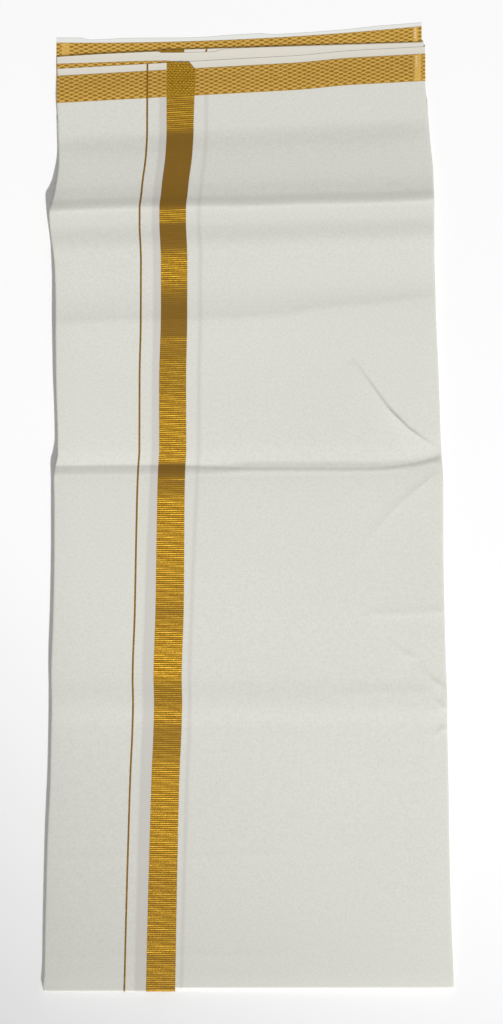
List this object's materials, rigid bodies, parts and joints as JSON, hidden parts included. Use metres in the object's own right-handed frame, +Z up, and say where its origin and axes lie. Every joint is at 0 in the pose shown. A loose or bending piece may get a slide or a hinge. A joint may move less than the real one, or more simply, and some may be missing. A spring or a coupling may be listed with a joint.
{
  "type": "folded dhoti cloth",
  "caption": "Long cotton wrap cloth with woven gold borders, folded flat into a narrow bundle that lies on a surface.",
  "frame": {"origin": "middle of the bundle's footprint, on the surface it lies on", "axes": "+X from the left fold to the right fold, +Y from the bottom fold to the cut ends, +Z up"},
  "size_m": [0.411, 0.9721, 0.0137],
  "materials": {
    "cotton_white": "plain-woven white cotton, matt",
    "gold_zari": "gold metallic thread woven into cotton, soft sheen"
  },
  "bodies": {
    "root": {"back_panel": "cotton_white", "back_end_band": "gold_zari", "back_end_margin": "cotton_white", "hidden_layers": "cotton_white", "third_ply_border": "gold_zari", "third_ply_end": "cotton_white", "second_end_band": "gold_zari", "second_end_margin": "cotton_white", "front_panel": "cotton_white", "front_end_band": "gold_zari", "front_end_margin": "cotton_white", "flap_panel": "cotton_white", "flap_inner_strip": "cotton_white", "flap_fine_line": "gold_zari", "flap_border": "gold_zari", "flap_band_outer": "gold_zari", "flap_band_inner": "gold_zari", "flap_margin_outer": "cotton_white", "flap_margin_inner": "cotton_white"}
  },
  "joints": []
}
